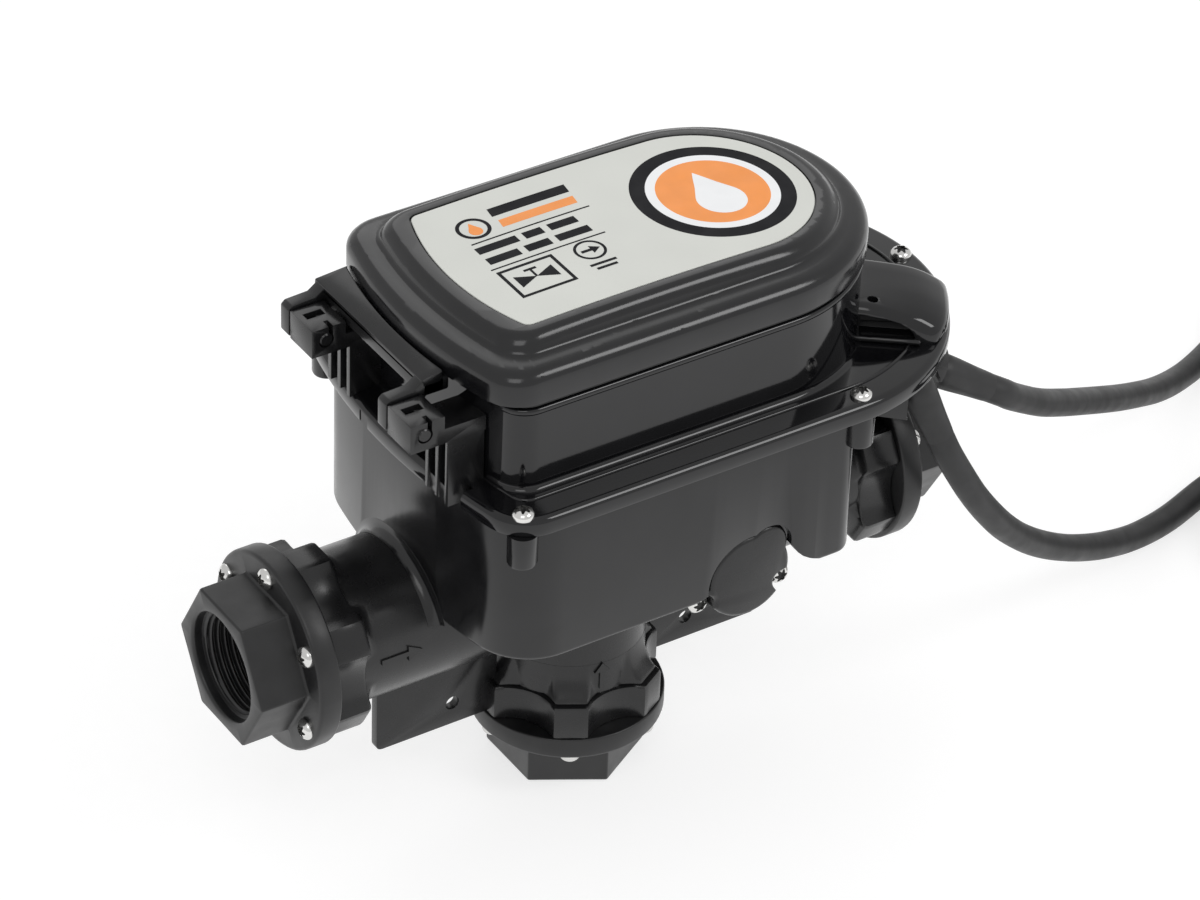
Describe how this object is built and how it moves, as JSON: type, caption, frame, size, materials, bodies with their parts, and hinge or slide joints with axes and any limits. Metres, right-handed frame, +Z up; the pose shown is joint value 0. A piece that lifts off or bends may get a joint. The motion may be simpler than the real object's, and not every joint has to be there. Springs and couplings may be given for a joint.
{
  "type": "diverter valve",
  "caption": "Motorised water diverter valve with two screwed inlets, an outlet, a hinged-lid control housing and two cords.",
  "frame": {"origin": "centre of the pump port's bottom face", "axes": "+X along the run towards the outlet, -X towards the mains inlet, -Z out of the pump port, +Z up through the control housing, -Y towards the side cap"},
  "size_m": [0.5675, 0.202, 0.1912],
  "materials": {
    "gloss_black": "gloss moulded",
    "satin_black": "satin glass-filled nylon",
    "moulded_black": "satin",
    "label_grey": "satin printed film",
    "rubber_black": "matte",
    "stainless": "bright",
    "polished_steel": "polished",
    "seat_white": "satin",
    "brass": "machined",
    "plated_steel": "zinc plated",
    "poppet_orange": "satin",
    "turbine_blue": "satin",
    "board_green": "solder mask",
    "potting_black": "matte",
    "relay_blue": "gloss moulded"
  },
  "bodies": {
    "root": {"valve_body": "satin_black", "lower_housing": "gloss_black", "cover_frame": "gloss_black", "cover_gasket": "rubber_black", "hinge_pins": "moulded_black", "cover_screws": "stainless", "housing_screws": "stainless", "mains_union": "satin_black", "pump_union": "satin_black", "outlet_union": "satin_black", "union_seals": "rubber_black", "union_screws": "stainless", "side_cap": "satin_black", "side_cap_seal": "rubber_black", "side_cap_screws": "stainless", "pressure_sensor": "stainless", "ball_seats": "seat_white", "stem_seal": "rubber_black", "gear_motor": "plated_steel", "motor_bracket": "plated_steel", "mains_check_seat": "seat_white", "mains_check_spring": "stainless", "mains_check_guide": "seat_white", "pump_check_seat": "seat_white", "pump_check_spring": "stainless", "pump_check_guide": "seat_white", "turbine_carrier": "seat_white", "control_board": "board_green", "transformer": "potting_black", "relays": "relay_blue", "terminal_block": "board_green", "cable_entry": "moulded_black", "supply_relief": "rubber_black", "pump_relief": "rubber_black", "supply_cord": "rubber_black", "supply_coil": "rubber_black", "supply_plug": "moulded_black", "plug_pins": "brass", "pump_cord": "rubber_black", "pump_coil": "rubber_black", "pump_socket": "moulded_black", "cord_ties": "moulded_black"},
    "lid_body": {"lid": "gloss_black", "lid_seal": "rubber_black", "label": "label_grey", "hinge_bar": "gloss_black"},
    "diverter": {"diverter_ball": "polished_steel", "valve_stem": "stainless", "drive_gear": "seat_white"},
    "pinion": {"motor_pinion": "brass"},
    "mains_poppet": {"mains_check_poppet": "poppet_orange"},
    "pump_poppet": {"pump_check_poppet": "poppet_orange"},
    "turbine": {"flow_turbine": "turbine_blue"}
  },
  "joints": [
    {"name": "lid_hinge", "type": "hinge", "parent": "root", "child": "lid_body", "pos_m": [-0.0745, 0, 0.1655], "axis": [0, -1, 0], "range_deg": [0, 110]},
    {"name": "ball_turn", "type": "hinge", "parent": "root", "child": "diverter", "pos_m": [0, 0, 0.077], "axis": [0, 0, -1], "range_deg": [0, 90]},
    {"name": "pinion_turn", "type": "hinge", "parent": "root", "child": "pinion", "pos_m": [-0.03125, 0, 0.118], "axis": [0, 0, -1], "range_deg": [-360, 0]},
    {"name": "mains_poppet_slide", "type": "slide", "parent": "root", "child": "mains_poppet", "axis": [1, 0, 0], "range_m": [0, 0.006], "stiffness_N_per_m": 60, "springref_m": -0.004, "deforming": ["mains_check_spring"]},
    {"name": "pump_poppet_slide", "type": "slide", "parent": "root", "child": "pump_poppet", "axis": [0, 0, 1], "range_m": [0, 0.006], "stiffness_N_per_m": 60, "springref_m": -0.004, "deforming": ["pump_check_spring"]},
    {"name": "turbine_spin", "type": "hinge", "parent": "root", "child": "turbine", "pos_m": [0.062, 0, 0.077], "axis": [1, 0, 0], "continuous": true}
  ],
  "couplings": [
    {"joint": "pinion_turn", "follows": "ball_turn", "ratio": -4}
  ]
}
